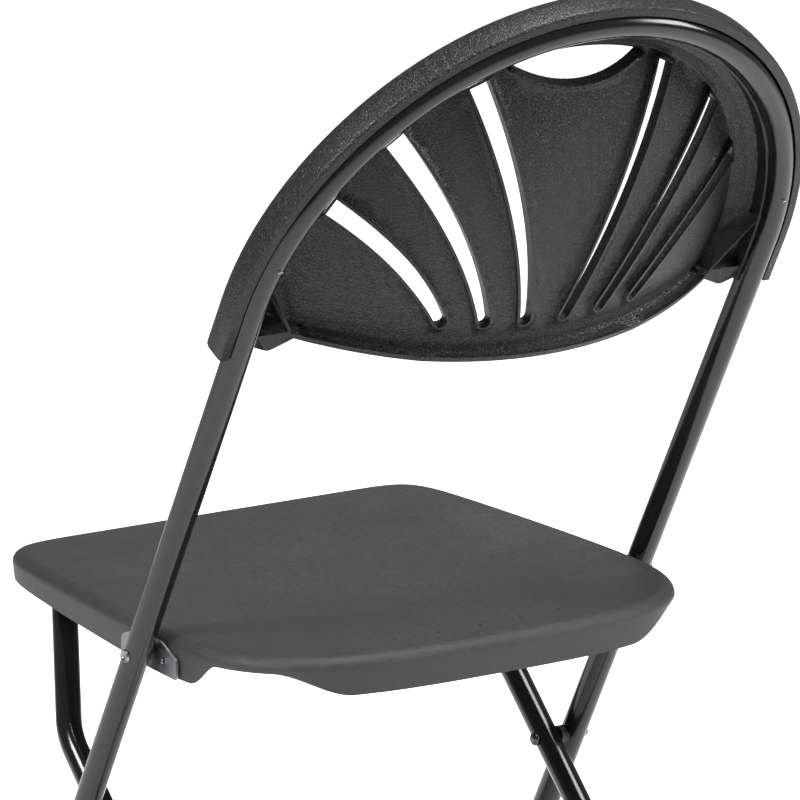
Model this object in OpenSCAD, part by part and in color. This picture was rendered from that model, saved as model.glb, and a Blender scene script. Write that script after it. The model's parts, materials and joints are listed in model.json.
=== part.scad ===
// Folding chair with a fan-pattern plastic back, a plastic seat and a crossed tube frame.
// X runs across the chair, the sitter faces -Y and Z is up. The origin is on the floor under the middle.

/* [Frame] */
// Distance between the centres of the two front legs
leg_spacing = 430; // [400:1:520]
// Outside diameter of the frame tubes
tube_d = 19; // [17:0.5:22]
// Wall of the frame tubes
tube_wall = 1.2; // [0.8:0.1:2]
// Height of the seat pivots above the floor
pivot_height = 405; // [330:1:490]
// Lean of the front frame from upright, in degrees
frame_lean = 28.6; // [24:0.1:33]
// Distance along the frame from the seat pivots up to the centre of the arch
arch_rise = 305; // [285:1:370]
// Distance along the frame from the seat pivots down to the leg pivots
cross_drop = 163; // [150:1:180]
// Distance along the frame from the seat pivots down to the front crossbar
front_bar_drop = 330; // [260:1:380]
// Outside diameter of the two crossbars
crossbar_d = 16; // [12:0.5:18]

/* [Rear legs] */
// Lean of the rear legs from upright, in degrees
rear_lean = 45.1; // [43:0.1:47]
// Free space between a front leg and a rear leg
leg_gap = 5; // [4:0.5:8]
// Straight length of a rear leg above the leg pivots
rear_straight = 58; // [50:1:64]
// Angle by which the rear legs bend inwards, in degrees
rear_bend = 22.4; // [18:0.1:25]
// Radius of that inward bend
rear_bend_r = 70; // [50:1:80]
// Radius of the two top corners of the rear legs
top_corner_r = 40; // [30:1:50]
// Distance from the leg pivots up to the top bar
top_bar_rise = 196; // [190:1:200]
// Distance along the rear legs from the leg pivots down to their crossbar
rear_bar_drop = 230; // [150:1:270]

/* [Seat] */
// Reach of the seat in front of its pivots
seat_front = 240; // [230:1:260]
// Reach of the seat behind its pivots
seat_back = 137; // [125:1:150]
// Gap between the seat's side and a front leg
seat_side_gap = 5; // [4.5:0.5:8]
// Share by which the front of the seat is narrower than its widest place
seat_taper = 0.09; // [0:0.01:0.15]
// Tilt of the seat, front edge up, in degrees
seat_tilt = 1.8; // [0:0.1:3]
// Height of the seat's edge above its pivots
seat_rise = 16; // [15:0.5:20]
// Depth of the hollow in the middle of the seat
seat_dish = 4; // [0:0.5:6]
// Wall of the seat moulding
seat_wall = 3; // [2:0.1:4]
// Radius of the seat's rounded top edge
seat_roll = 9; // [6:0.5:12]
// Depth of the skirt below the seat pivots
skirt_drop = 14; // [12:0.5:16]
// Height of the notch that lets a folded rear leg through the skirt
notch_height = 17; // [15:0.5:20]
// Distance from the middle of the seat to each slide rail
rail_x = 86; // [70:1:92]

/* [Backrest] */
// How far the rim stands out past the tube
rim_wall = 7.5; // [5:0.5:9]
// Depth of the rim in front of the tube's centre
rim_front = 22; // [19:0.5:24]
// Depth of the rim's outer wall behind the tube's centre
rim_back = 5; // [2:0.5:7]
// Length of the rim below the centre of the arch
rim_tail = 35; // [25:1:50]
// Distance from the inner wall of the rim in to the edge of the dish
dish_inset = 16.5; // [13:0.5:20]
// Distance from the inner wall of the rim in to the lowest place of each shelf beside it
lobe_inset = 13; // [8:1:20]
// Distance from the edge of the dish to the inner end of each shelf
hollow_inset = 20; // [14:1:30]
// Distance from the edge of the dish to the upper ends of the slots
slot_end_gap = 3; // [3:0.5:12]
// Radius of the hollow of the back panel
dish_r = 325; // [300:5:500]
// Thickness of the back panel
panel_wall = 3.5; // [2.5:0.1:5]
// Width of the slots at their lower ends
slot_low_w = 8; // [6:0.5:11]
// Width of the slots at their upper ends
slot_high_w = 15; // [12:0.5:20]
// Height of the walls round the slots
slot_wall_h = 4; // [3:0.5:8]
// Depth of the hand opening
hand_depth = 20; // [16:1:30]
// Radius of the hand opening's lower edge
hand_curve_r = 130; // [100:1:160]

/* [Fasteners and feet] */
// Diameter of the pivot rivets
rivet_d = 6; // [5:0.5:8]
// Thickness of the seat bracket plates
bracket_t = 1.8; // [1.2:0.1:2]
// Diameter of the backrest screws
back_screw_d = 4; // [3:0.5:5]
// Wall of the plastic feet
foot_wall = 3; // [2:0.5:4]
// Length of the plastic feet
foot_len = 34; // [25:1:50]

/* [Hidden] */
$fn = 48;

// Clearances
fit_gap = 0.1;       // a tube in its plastic channel or foot
weld_gap = 0.02;     // a crossbar or sleeve fixed to its tube
thread_bite = 0.4;   // how much thinner a screw hole is than its screw
pin_gap = 0.1;       // a rivet in the hole that turns on it
move_gap = 0.4;      // pieces that pass each other
cut = 1;             // overrun of a cutter
weld = 1;            // how far a straight stretch of a tube runs into its bend
swell = 0.05;        // how much fatter a bend is than the straight stretch inside it

// Tubes
tube_r = tube_d / 2;
leg_x = leg_spacing / 2;
rear_x = leg_x - tube_d - leg_gap;
rivet_r = rivet_d / 2;
head_r = rivet_r + 2;
head_h = 2.2;
head_taper = 0.8;
head_sink = 0.6;

// Seat sizes in its own tilted frame, with the pivots at the origin
seat_half = leg_x - tube_r - seat_side_gap;
corner_power_front = 15;
corner_power_back = 3.2;
skirt_draft = 1.2;
skirt_front_rise = 9;

// Backrest sizes
channel_r = tube_r + swell + fit_gap;
rim_out = leg_x + tube_r + rim_wall;
rim_in = leg_x - channel_r - 2.4;
rim_round = 13;
rim_back_round = 3;
dish_edge = rim_in - dish_inset;
dish_centre = rim_front - panel_wall + sqrt(dish_r * dish_r - dish_edge * dish_edge);
lip = 4;
flange_depth = 11;
flange_t = 4;

// The seat pivots stand where the whole chair is centred on the origin
back_reach = (arch_rise + rim_out - rim_back_round) * sin(frame_lean)
    + (rim_back - rim_back_round) * cos(frame_lean) + rim_back_round;
front_reach = seat_front * cos(seat_tilt) - (seat_rise - seat_roll) * sin(seat_tilt);
pivot_y = (front_reach - back_reach) / 2;

// Where each tube's axis meets the floor, measured along the tube from its pivot
front_floor = pivot_height / cos(frame_lean);
leg_pivot_z = pivot_height - cross_drop * cos(frame_lean);
rear_floor = leg_pivot_z / cos(rear_lean);
foot_floor = 4;
front_tube_end = front_floor - foot_floor - tube_r * tan(frame_lean);
rear_tube_end = rear_floor - foot_floor - tube_r * tan(rear_lean);

// Frames of reference
module on_frame() {
    translate([0, pivot_y, pivot_height])
        rotate([-frame_lean, 0, 0])
            children();
}

module on_seat() {
    translate([0, pivot_y, pivot_height])
        rotate([-seat_tilt, 0, 0])
            children();
}

module on_rear_legs() {
    translate([0, pivot_y - cross_drop * sin(frame_lean), leg_pivot_z])
        rotate([rear_lean, 0, 0])
            children();
}

module on_side(side) {
    if (side > 0) children();
    else mirror([1, 0, 0]) children();
}

module both_sides() {
    children();
    mirror([1, 0, 0]) children();
}

// The cross cut into a screw's head
module cross_recess() {
    for (a = [0, 90])
        rotate([0, 0, a])
            translate([-1.6, -0.35, 0])
                cube([3.2, 0.7, 2]);
}

module across(x0, x1, r) {
    translate([x0, 0, 0])
        rotate([0, 90, 0])
            cylinder(h = x1 - x0, r = r);
}

// A closed outline with its corners rounded: each point is [x, y, radius]
function corner_arc(a, b, c, n) =
    let (u = [a.x - b.x, a.y - b.y], v = [c.x - b.x, c.y - b.y], p = u / norm(u), q = v / norm(v))
    let (half = acos(min(1, max(-1, p * q))) / 2, reach = b[2] / tan(half), m = (p + q) / norm(p + q))
    let (o = [b.x, b.y] + m * b[2] / sin(half))
    let (s = [b.x, b.y] + p * reach - o, e = [b.x, b.y] + q * reach - o)
    let (a0 = atan2(s.y, s.x), turn = atan2(s.x * e.y - s.y * e.x, s * e))
    [for (i = [0 : n]) o + b[2] * [cos(a0 + turn * i / n), sin(a0 + turn * i / n)]];

function rounded(points, n = 6) =
    let (k = len(points))
    [for (i = [0 : k - 1]) each
        points[i][2] > 0
            ? corner_arc(points[(i + k - 1) % k], points[i], points[(i + 1) % k], n)
            : [[points[i].x, points[i].y]]];

// ---- Front frame: one tube bent into an arch, with the two front legs ----

module main_path(r, over = 0) {
    both_sides()
        translate([leg_x, 0, -front_tube_end - over])
            cylinder(h = front_tube_end + arch_rise + over + weld, r = r);
    translate([0, 0, arch_rise])
        rotate([90, 0, 0])
            rotate_extrude(angle = 180)
                translate([leg_x, 0])
                    circle(r = r + swell);
}

module main_frame_tube() {
    color("#161617")
        on_frame()
            difference() {
                main_path(tube_r);
                main_path(tube_r - tube_wall, cut);
                both_sides() {
                    across(leg_x - tube_d, leg_x + tube_d, rivet_r + pin_gap);
                    translate([0, 0, -cross_drop])
                        across(leg_x - tube_d, leg_x + tube_d, rivet_r + pin_gap);
                    back_screw_axis()
                        cylinder(h = tube_d * 2, r = back_screw_d / 2 + pin_gap, center = true);
                    crossbar_rivet_axis()
                        cylinder(h = tube_r * 2, r = small_rivet_r + pin_gap);
                }
            }
}

small_rivet_r = 2.4;
tab_t = 3;
tab_half = 9;

// The rivet of a crossbar tab, pointing into the tube from the front
module crossbar_rivet_axis() {
    translate([leg_x, -tube_r - tab_t, -front_bar_drop])
        rotate([-90, 0, 0])
            children();
}

module front_crossbar() {
    bar_r = crossbar_d / 2;
    bar_half = leg_x - tube_r - 2;
    color("#161617")
        on_frame()
            translate([0, 0, -front_bar_drop])
                difference() {
                    union() {
                        translate([0, -tube_r - fit_gap - bar_r, 0])
                            across(-bar_half, bar_half, bar_r);
                        translate([-leg_x, -tube_r - fit_gap - tab_t, -tab_half])
                            cube([leg_spacing, tab_t, tab_half * 2]);
                        both_sides()
                            translate([leg_x, -tube_r - fit_gap, 0])
                                rotate([90, 0, 0])
                                    cylinder(h = tab_t, r = tab_half);
                    }
                    translate([0, -tube_r - fit_gap - bar_r, 0])
                        across(-bar_half - cut, bar_half + cut, bar_r - tab_t);
                    both_sides()
                        translate([leg_x, 0, 0])
                            rotate([90, 0, 0])
                                cylinder(h = tube_d * 2, r = small_rivet_r + pin_gap);
                }
}

module crossbar_rivets() {
    color("#b4b6ba")
        on_frame()
            both_sides()
                crossbar_rivet_axis() {
                    translate([0, 0, -fit_gap])
                        cylinder(h = tab_t + tube_wall + 3, r = small_rivet_r);
                    translate([0, 0, -fit_gap - 1.8])
                        cylinder(h = 1.8, r1 = small_rivet_r, r2 = small_rivet_r + 1.8);
                }
}

// ---- Feet ----

// A cap along a leaning tube whose sole is level with the floor
module foot(axis_to_floor, tube_end) {
    sole_r = tube_r + foot_wall;
    difference() {
        translate([0, 0, -axis_to_floor - sole_r * 2])
            cylinder(h = foot_len + sole_r * 2, r = sole_r);
        translate([0, 0, -tube_end - fit_gap])
            cylinder(h = foot_len * 2, r = tube_r + fit_gap);
    }
}

module above_floor() {
    intersection() {
        children();
        translate([-leg_spacing, -leg_spacing * 2, 0])
            cube([leg_spacing * 2, leg_spacing * 4, pivot_height]);
    }
}

module front_foot(side) {
    color("#1d1d1e")
        above_floor()
            on_frame()
                on_side(side)
                    translate([leg_x, 0, 0])
                        foot(front_floor, front_tube_end);
}

module rear_foot(side) {
    color("#1d1d1e")
        above_floor()
            on_rear_legs()
                on_side(side)
                    translate([rear_x, 0, 0])
                        foot(rear_floor, rear_tube_end);
}

// ---- Backrest: a dished panel with fan slots and a channel rim round the arch ----

// Section of the rim: x is the distance from the arch's centre, y runs forwards
module rim_section() {
    difference() {
        polygon(rounded([
            [rim_out, -rim_back, rim_back_round], [rim_out, rim_front, rim_round],
            [dish_edge - lip, rim_front, 0], [dish_edge - lip, rim_front - panel_wall, 0],
            [dish_edge + 1, rim_front - panel_wall, 0], [rim_in - 7, rim_front - 10, 2],
            [rim_in, rim_front - 12, 2], [rim_in, -1, 1], [leg_x - 2, -1, 0],
            [leg_x - 2, -rim_back, 0]
        ]));
        translate([leg_x, 0])
            circle(r = channel_r);
        translate([leg_x - channel_r, -rim_front * 2])
            square([channel_r * 2, rim_front * 2]);
    }
}

// Turns a drawing of x across and y up into a solid that runs forwards through the back
module through_back(depth) {
    translate([0, 0, arch_rise])
        rotate([90, 0, 0])
            translate([0, 0, -depth / 2])
                linear_extrude(depth)
                    children();
}

// A ball whose surface is the rear of the panel, or that far outside it
module dish_ball(extra) {
    translate([0, -dish_centre, arch_rise])
        sphere(r = dish_r + extra, $fn = 220);
}

panel_half = dish_edge + 0.6;
lobe_x = rim_in - lobe_inset;
hollow_x = dish_edge - hollow_inset;
edge_rise = 9;
middle_x = 90;
middle_rise = 4;

// Outline of the panel seen from the back, measured from the arch's centre
module panel_outline() {
    intersection() {
        circle(r = panel_half, $fn = 160);
        translate([-panel_half, -cut])
            square([panel_half * 2, panel_half * 2]);
    }
    polygon(rounded([
        [-panel_half, 0, 0], [-panel_half, -rim_tail + edge_rise, 3],
        [-middle_x, -rim_tail + middle_rise, 60], [middle_x, -rim_tail + middle_rise, 60],
        [panel_half, -rim_tail + edge_rise, 3], [panel_half, 0, 0]
    ]));
}

// The strip along the panel's lower edge that the rearward flange stands on
module flange_strip() {
    difference() {
        intersection() {
            panel_outline();
            translate([-leg_spacing, -rim_tail])
                square([leg_spacing * 2, edge_rise + flange_t]);
        }
        translate([0, flange_t])
            panel_outline();
    }
}

// Each slot: lower end, upper end and how far its middle bows towards the top, from the arch's centre
// The lower ends stand a fixed pitch apart; the upper ends fan out inside the rim
slot_first = 16.5;
slot_pitch = 31.8;
slot_foot = -2;
slot_fan = [65, 43.7, 23.8];
slot_bow = [5, 7, 8];
slot_steps = 12;
slot_end_r = dish_edge - slot_end_gap;
slots = [
    for (i = [0 : len(slot_fan) - 1])
        let (high = slot_end_r * [cos(slot_fan[i]), sin(slot_fan[i])])
        [[slot_first + slot_pitch * i, slot_foot], high, slot_bow[i]]
];

function slot_mid(s, u) =
    let (d = s[1] - s[0], n = [-d.y, d.x] / norm(d))
    s[0] + d * u + n * s[2] * 4 * u * (1 - u);
function slot_normal(s, u) =
    let (t = slot_mid(s, u + 0.01) - slot_mid(s, u - 0.01))
    [-t.y, t.x] / norm(t);
function slot_half(u, grow) = (slot_low_w + (slot_high_w - slot_low_w) * u) / 2 + grow;

// One long side of a slot; its last place lies on the circle where the slots end
function slot_side(s, side, grow) = [
    for (i = [0 : slot_steps])
        let (u = i / slot_steps, p = slot_mid(s, u) + slot_normal(s, u) * side * slot_half(u, grow))
        i < slot_steps ? p : p / norm(p) * (slot_end_r + grow)
];

module slot_shape(s, grow) {
    left = slot_side(s, 1, grow);
    right = slot_side(s, -1, grow);
    n = slot_normal(s, 0);
    a0 = atan2(n.y, n.x);
    polygon(concat(
        [for (i = [slot_steps : -1 : 0]) left[i]],
        [for (a = [20 : 20 : 160]) s[0] + slot_half(0, grow) * [cos(a0 + a), sin(a0 + a)]],
        right
    ));
}

hand_end_r = dish_edge - 2;
hand_low = hand_end_r - hand_depth;

module hand_shape(grow) {
    intersection() {
        circle(r = hand_end_r, $fn = 160);
        translate([0, hand_low + hand_curve_r])
            circle(r = hand_curve_r + grow, $fn = 96);
    }
}

wall_t = 2.2;

module back_openings(grow) {
    for (s = slots)
        both_sides()
            through_back(leg_spacing)
                slot_shape(s, grow);
    through_back(leg_spacing)
        hand_shape(grow);
}

// The screws go forwards through the arch a little above its centre
back_screw_turn = 11.5;
screw_flange_r = back_screw_d / 2 + 1.2;
screw_bite = 4.2;
screw_core_r = back_screw_d / 2 - thread_bite;

module back_screw_axis() {
    translate([0, 0, arch_rise])
        rotate([0, -back_screw_turn, 0])
            translate([leg_x, 0, 0])
                rotate([-90, 0, 0])
                    children();
}

gusset_low = -rim_tail + edge_rise + 1;
gusset_high = 20;

// Runs a drawing of x across and y up forwards from the middle of the tube into the rim
module into_rim() {
    translate([0, 0, arch_rise])
        rotate([90, 0, 0])
            linear_extrude(rim_front - 1)
                children();
}

// A plate from the end of the panel's edge up to the inner wall of the rim
module gusset() {
    into_rim()
        polygon([
            [hollow_x + 7, gusset_low], [hollow_x + 7 + wall_t, gusset_low],
            [rim_in + 1, gusset_high], [rim_in + 1 - wall_t, gusset_high]
        ]);
}

// The shelf under the gusset, which closes the corner between the panel and the rim
module shelf() {
    into_rim()
        polygon(rounded([
            [hollow_x, -rim_tail + edge_rise + flange_t, 0], [hollow_x, -rim_tail + edge_rise, 0],
            [lobe_x, -rim_tail - 2, 8], [rim_in + 1, -rim_tail + 4, 0],
            [rim_in + 1, -rim_tail + edge_rise + flange_t, 0]
        ]));
}

module backrest_shell() {
    color("#232324")
        on_frame()
            difference() {
                union() {
                    translate([0, 0, arch_rise])
                        rotate([90, 0, 0])
                            rotate_extrude(angle = 180, $fn = 160)
                                rim_section();
                    both_sides()
                        translate([0, 0, arch_rise - rim_tail])
                            rotate([180, 0, 0])
                                mirror([0, 0, 1])
                                    linear_extrude(rim_tail)
                                        rim_section();
                    intersection() {
                        difference() {
                            dish_ball(0);
                            dish_ball(-panel_wall);
                        }
                        through_back(leg_spacing)
                            panel_outline();
                    }
                    intersection() {
                        difference() {
                            dish_ball(slot_wall_h);
                            dish_ball(-panel_wall / 2);
                        }
                        back_openings(wall_t);
                    }
                    intersection() {
                        difference() {
                            dish_ball(flange_depth);
                            dish_ball(-panel_wall / 2);
                        }
                        through_back(leg_spacing)
                            flange_strip();
                    }
                    both_sides()
                        difference() {
                            union() {
                                gusset();
                                shelf();
                            }
                            dish_ball(-panel_wall / 2);
                        }
                }
                back_openings(0);
                both_sides()
                    back_screw_axis()
                        cylinder(h = tube_d * 2, r = screw_core_r, center = true);
                main_path(channel_r, cut);
            }
}

module backrest_screws() {
    color("#c2c4c8")
        on_frame()
            both_sides()
                back_screw_axis()
                    difference() {
                        union() {
                            translate([0, 0, -tube_r - screw_bite])
                                cylinder(h = tube_d + screw_bite + fit_gap * 2, r = screw_core_r);
                            translate([0, 0, tube_r + fit_gap * 2])
                                cylinder(h = 1, r = screw_flange_r);
                            translate([0, 0, tube_r + fit_gap * 2 + 1])
                                cylinder(h = 0.9, r1 = screw_flange_r, r2 = screw_flange_r - 0.8);
                        }
                        translate([0, 0, tube_r + fit_gap * 2 + 1.1])
                            cross_recess();
                    }
}

// ---- Seat pivots ----

bracket_x = seat_half + 0.2;
washer_x = bracket_x + bracket_t + move_gap;

// A rivet head whose underside fits the round of a front leg
module rivet_head_on_tube() {
    difference() {
        translate([leg_x + tube_r - head_sink, 0, 0])
            rotate([0, 90, 0])
                cylinder(h = head_h, r1 = head_r, r2 = head_r - head_taper);
        translate([leg_x, 0, -tube_d])
            cylinder(h = tube_d * 2, r = tube_r + weld_gap);
    }
}

// The seat turns on these; they are fixed in the front legs
module seat_pivot_rivet(side) {
    color("#b4b6ba")
        on_frame()
            on_side(side) {
                across(bracket_x - move_gap, leg_x + tube_r + 0.3, rivet_r);
                difference() {
                    rivet_head_on_tube();
                    across(leg_x + tube_r + head_h - 1.1, leg_x + tube_d, rivet_r - 1.6);
                }
                across(bracket_x - move_gap - 1.6, bracket_x - move_gap, head_r - 0.6);
            }
}

module seat_pivot_washer(side) {
    color("#303032")
        on_frame()
            on_side(side)
                difference() {
                    across(washer_x, leg_x - tube_r + 1.2, head_r + 0.5);
                    across(washer_x - cut, leg_x, rivet_r + pin_gap);
                    translate([leg_x, 0, -tube_d])
                        cylinder(h = tube_d * 2, r = tube_r + pin_gap);
                }
}

// ---- Leg pivots ----

module leg_pivot_rivet(side) {
    color("#2a2a2c")
        on_frame()
            translate([0, 0, -cross_drop])
                on_side(side) {
                    across(rear_x - tube_r - move_gap - 0.3, leg_x + tube_r + 0.3, rivet_r);
                    rivet_head_on_tube();
                    translate([rear_x - tube_r - move_gap, 0, 0])
                        rotate([0, -90, 0])
                            cylinder(h = head_h, r1 = head_r, r2 = head_r - head_taper);
                }
}

module leg_pivot_spacer(side) {
    color("#303032")
        on_frame()
            translate([0, 0, -cross_drop])
                on_side(side)
                    difference() {
                        across(rear_x + tube_r + move_gap, leg_x - tube_r + 2, head_r + 2);
                        across(rear_x, leg_x, rivet_r + pin_gap);
                        translate([leg_x, 0, -tube_d])
                            cylinder(h = tube_d * 2, r = tube_r + pin_gap);
                    }
}

// ---- Seat moulding ----

quarter_steps = 26;

// Direction of a place on the outline; places gather at the corners
function corner_angle(front) = front ? atan(seat_front / seat_half) : atan(seat_back / seat_half);
function gather(k, c) =
    let (s = k / quarter_steps)
    s < 0.5 ? c * (1 - pow(1 - 2 * s, 1.8)) : c + (90 - c) * pow(2 * s - 1, 1.8);

// Outline of the seat as rounded boxes of high power, one for the front half and one for the back
function outline_at(a) =
    let (front = sin(a) < 0, n = front ? corner_power_front : corner_power_back)
    let (b = front ? seat_front : seat_back)
    let (r = pow(pow(abs(cos(a)) / seat_half, n) + pow(abs(sin(a)) / b, n), -1 / n))
    let (y = r * sin(a), narrow = front ? 1 - seat_taper * pow(-y / seat_front, 1.5) : 1)
    [r * cos(a) * narrow, y];

outline = [
    for (k = [0 : quarter_steps - 1]) outline_at(gather(k, corner_angle(false))),
    for (k = [quarter_steps : -1 : 1]) outline_at(180 - gather(k, corner_angle(false))),
    for (k = [0 : quarter_steps - 1]) outline_at(180 + gather(k, corner_angle(true))),
    for (k = [quarter_steps : -1 : 1]) outline_at(360 - gather(k, corner_angle(true)))
];

function inset(p, d) = [
    p.x * (1 - d / seat_half), p.y * (1 - d / (p.y < 0 ? seat_front : seat_back))
];

// Height of the notch in the skirt, by the direction from the seat's middle
notch_start = 12;
notch_full = 19;
notch_fall = 31;
notch_end = 47;
function ease(t) = t <= 0 ? 0 : t >= 1 ? 1 : t * t * (3 - 2 * t);
function notch(p) =
    let (a = atan2(p.y, abs(p.x)))
    notch_height * min(
        ease((a - notch_start) / (notch_full - notch_start)),
        ease((notch_end - a) / (notch_end - notch_fall))
    );
function skirt_end(p) =
    -skirt_drop + (p.y < 0 ? skirt_front_rise * -p.y / seat_front : 2 * p.y / seat_back) + notch(p);

// Height of the seat's top at a share q of the way from its middle to its edge
function top_z(q) = seat_rise - seat_dish * pow(max(0, 1 - q * q), 1.5);

shares = [0.12, 0.28, 0.44, 0.6, 0.74, 0.86, 0.93];
roll_steps = 5;
skirt_levels = [0.5, 1];

function flat_ring(q, drop) = [
    for (p = outline) let (e = inset(p, seat_roll)) [e.x * q, e.y * q, top_z(q) - drop]
];
function roll_ring(i, thick) = [
    for (p = outline)
        let (a = 90 * i / roll_steps, r = seat_roll - thick, e = inset(p, seat_roll - r * sin(a)))
        [e.x, e.y, seat_rise - seat_roll + r * cos(a)]
];
function skirt_ring(t, thick) = [
    for (p = outline)
        let (e = inset(p, thick + skirt_draft * t), z0 = seat_rise - seat_roll)
        [e.x, e.y, z0 + (skirt_end(p) - z0) * t]
];

seat_rings = concat(
    [for (q = shares) flat_ring(q, 0)],
    [for (i = [0 : roll_steps]) roll_ring(i, 0)],
    [for (t = skirt_levels) skirt_ring(t, 0)],
    [for (i = [len(skirt_levels) - 1 : -1 : 0]) skirt_ring(skirt_levels[i], seat_wall)],
    [for (i = [roll_steps : -1 : 0]) roll_ring(i, seat_wall)],
    [for (i = [len(shares) - 1 : -1 : 0]) flat_ring(shares[i], seat_wall)]
);

// A closed skin through rings of points, with a point at each end
module ring_skin(rings, first, last) {
    n = len(rings);
    m = len(rings[0]);
    points = concat([first], [for (r = rings) each r], [last]);
    end_point = n * m + 1;
    polyhedron(
        points = points,
        faces = concat(
            [for (j = [0 : m - 1]) [0, 1 + (j + 1) % m, 1 + j]],
            [for (i = [0 : n - 2]) for (j = [0 : m - 1])
                let (a = 1 + i * m + j, b = 1 + i * m + (j + 1) % m) [a, b, b + m]],
            [for (i = [0 : n - 2]) for (j = [0 : m - 1])
                let (a = 1 + i * m + j, b = 1 + i * m + (j + 1) % m) [a, b + m, a + m]],
            [for (j = [0 : m - 1]) [end_point, end_point - m + j, end_point - m + (j + 1) % m]]
        )
    );
}

// Drain holes in a gentle curve along the rear edge
drain_r = 1.5;
drain_pitch = 35;
drain_inset = 30;
drains = [for (i = [-2 : 2]) [drain_pitch * i, seat_back - drain_inset - 0.75 * i * i]];

module through_skirt(r) {
    across(seat_half - skirt_draft - seat_wall - cut, seat_half + cut, r);
}

module seat_shell() {
    color("#3a3a3c")
        on_seat()
            difference() {
                ring_skin(
                    seat_rings,
                    [0, 0, top_z(0)],
                    [0, 0, top_z(0) - seat_wall]
                );
                both_sides() {
                    through_skirt(head_r + 1);
                    for (y = bracket_screw_y)
                        translate([0, y, bracket_screw_z])
                            through_skirt(screw_r + pin_gap);
                    for (y = rail_screw_y)
                        translate([rail_x, y, -seat_rise])
                            cylinder(h = seat_rise * 2 - seat_dish - 1, r = screw_r - 0.3);
                }
                for (p = drains)
                    translate([p.x, p.y, 0])
                        cylinder(h = seat_rise * 2, r = drain_r);
            }
}

// ---- Seat brackets ----

screw_r = 1.8;
screw_head_r = 3.4;
screw_head_h = 1.5;
bracket_screw_y = [-27, 15];
bracket_screw_z = -3;
bracket_front = -40;
bracket_rear = 31;
bracket_top = 10;
bracket_low = 0.5 - skirt_drop;
bracket_corner = 2;

module seat_bracket(side) {
    color("#a9abaf")
        on_seat()
            on_side(side)
                difference() {
                    translate([bracket_x, 0, 0])
                        rotate([90, 0, 90])
                            linear_extrude(bracket_t)
                                polygon(rounded([
                                    [bracket_front, bracket_low + 2, bracket_corner],
                                    [bracket_rear, bracket_low, bracket_corner],
                                    [bracket_rear, 1, bracket_corner * 2], [10, bracket_top, 8],
                                    [-22, bracket_top, 8], [bracket_front, 3, 5]
                                ]));
                    across(bracket_x - cut, bracket_x + bracket_t + cut, rivet_r + pin_gap);
                    for (y = bracket_screw_y)
                        translate([0, y, bracket_screw_z])
                            across(bracket_x - cut, bracket_x + bracket_t + cut, screw_r + pin_gap);
                }
}

module bracket_screws() {
    color("#c2c4c8")
        on_seat()
            both_sides()
                for (y = bracket_screw_y)
                    translate([bracket_x + bracket_t, y, bracket_screw_z])
                        rotate([0, 90, 0])
                            difference() {
                                union() {
                                    translate([0, 0, -bracket_t - seat_wall - 3])
                                        cylinder(h = bracket_t + seat_wall + 3, r = screw_r);
                                    cylinder(h = screw_head_h, r1 = screw_head_r, r2 = screw_head_r - 1);
                                }
                                translate([0, 0, screw_head_h - 0.8])
                                    cross_recess();
                            }
}

// ---- Slide rails: two steel channels under the seat on which the rear legs' top bar runs ----

sleeve_wall = 1.6;
sleeve_half = 15;
rail_half_w = 11;
rail_t = 1.5;
rail_top = seat_rise - seat_wall - seat_dish - 0.2;
bar_dy = -cross_drop * sin(frame_lean) - top_bar_rise * sin(rear_lean);
bar_dz = -cross_drop * cos(frame_lean) + top_bar_rise * cos(rear_lean);
bar_y = bar_dy * cos(seat_tilt) - bar_dz * sin(seat_tilt);
bar_z = bar_dz * cos(seat_tilt) + bar_dy * sin(seat_tilt);
sleeve_r = tube_r + sleeve_wall;
rail_bottom = bar_z + sleeve_r + move_gap;
rail_front = bar_y - sleeve_r - move_gap - rail_t;
rail_rear = -8;
rail_screw_y = [-178, -60];

module slide_rail(side) {
    length = rail_rear - rail_front;
    color("#8e9094")
        on_seat()
            on_side(side)
                translate([rail_x, 0, 0])
                    difference() {
                        union() {
                            translate([-rail_half_w, rail_front, rail_bottom])
                                cube([rail_half_w * 2, length, rail_top - rail_bottom]);
                            translate([-rail_half_w, rail_front, rail_bottom - sleeve_r])
                                cube([rail_half_w * 2, rail_t, sleeve_r + 1]);
                        }
                        translate([-rail_half_w + rail_t, rail_front - cut, rail_bottom + rail_t])
                            cube([(rail_half_w - rail_t) * 2, length + cut * 2, rail_top]);
                        for (y = rail_screw_y)
                            translate([0, y, rail_bottom - cut])
                                cylinder(h = rail_t + cut * 2, r = screw_r + pin_gap);
                    }
}

module rail_screws() {
    color("#c2c4c8")
        on_seat()
            both_sides()
                for (y = rail_screw_y)
                    translate([rail_x, y, rail_bottom + rail_t]) {
                        cylinder(h = screw_head_h, r1 = screw_head_r, r2 = screw_head_r - 1);
                        cylinder(h = rail_top - rail_bottom + 1, r = screw_r - 0.3);
                    }
}

// ---- Rear legs: one tube bent into an upside-down U that narrows towards its top bar ----

bend_end_x = rear_x - rear_bend_r * (1 - cos(rear_bend));
bend_end_z = rear_straight + rear_bend_r * sin(rear_bend);
slope_rise = top_bar_rise - bend_end_z - top_corner_r * (1 - sin(rear_bend));
slope_len = slope_rise / cos(rear_bend);
bar_half = bend_end_x - slope_rise * tan(rear_bend) - top_corner_r * cos(rear_bend);

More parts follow.
